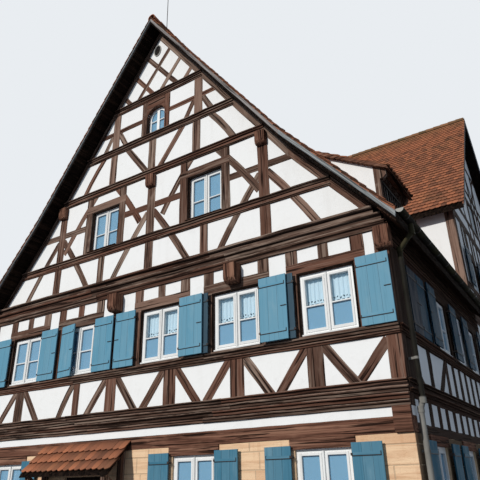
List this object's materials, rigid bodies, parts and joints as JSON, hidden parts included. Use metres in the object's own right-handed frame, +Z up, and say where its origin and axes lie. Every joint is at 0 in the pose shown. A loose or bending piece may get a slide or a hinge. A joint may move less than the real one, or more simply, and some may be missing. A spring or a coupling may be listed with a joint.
{
  "type": "half timbered house",
  "caption": "Half timbered house with a tall plastered gable over a stone ground floor, shuttered windows, a dormer and a higher cross wing.",
  "frame": {"origin": "middle of the plan, at ground level", "axes": "+X to the right seen from the street, +Y from the street gable to the back, +Z up"},
  "size_m": [12.71, 20.48, 17.0602],
  "materials": {
    "sandstone": "rough dressed sandstone blocks",
    "plaster": "lime washed plaster",
    "glass": "clear window glass",
    "window_paint": "white painted wood",
    "shutter_paint": "weathered blue grey paint on boards",
    "roof_tile": "fired clay plain tiles",
    "zinc": "weathered zinc",
    "iron": "dark iron",
    "flagstone": "stone flags",
    "floor_boards": "plain boards",
    "weathered_board": "grey weathered board",
    "door_wood": "dark planks",
    "timber": "weathered red brown oak"
  },
  "bodies": {
    "root": {"ground_slab": "flagstone", "upper_floor": "floor_boards", "attic_floor": "floor_boards", "loft_floor": "floor_boards", "masonry_front": "sandstone", "masonry_right": "sandstone", "masonry_left": "sandstone", "masonry_back": "sandstone", "masonry_cross": "sandstone", "frame_front": "timber", "frame_gable": "timber", "frame_right": "timber", "frame_left": "timber", "frame_back": "timber", "frame_cross": "timber", "frame_wing_right": "timber", "frame_wing_left": "timber", "infill_front": "plaster", "infill_sides": "plaster", "infill_wing": "plaster", "mouldings_front": "timber", "mouldings_sides": "timber", "wall_plates": "timber", "beam_heads": "timber", "ground_lintels": "timber", "roof_right": "roof_tile", "roof_left": "roof_tile", "wing_roof_front": "roof_tile", "wing_roof_back": "roof_tile", "ridge_tiles": "roof_tile", "verge_boards": "weathered_board", "dormer_frame": "timber", "dormer_cheeks": "plaster", "dormer_slats": "timber", "dormer_roof": "roof_tile", "gutters": "zinc", "downpipes": "zinc", "lightning_rod": "iron", "windows_front": "window_paint", "windows_sides": "window_paint", "windows_ground": "window_paint", "windows_wing": "window_paint", "window_glass": "glass", "shutters_front": "shutter_paint", "shutters_right": "shutter_paint", "shutters_left": "shutter_paint", "shutters_ground": "shutter_paint", "entrance_door": "door_wood", "porch_roof": "roof_tile", "porch_brackets": "timber"}
  },
  "joints": []
}
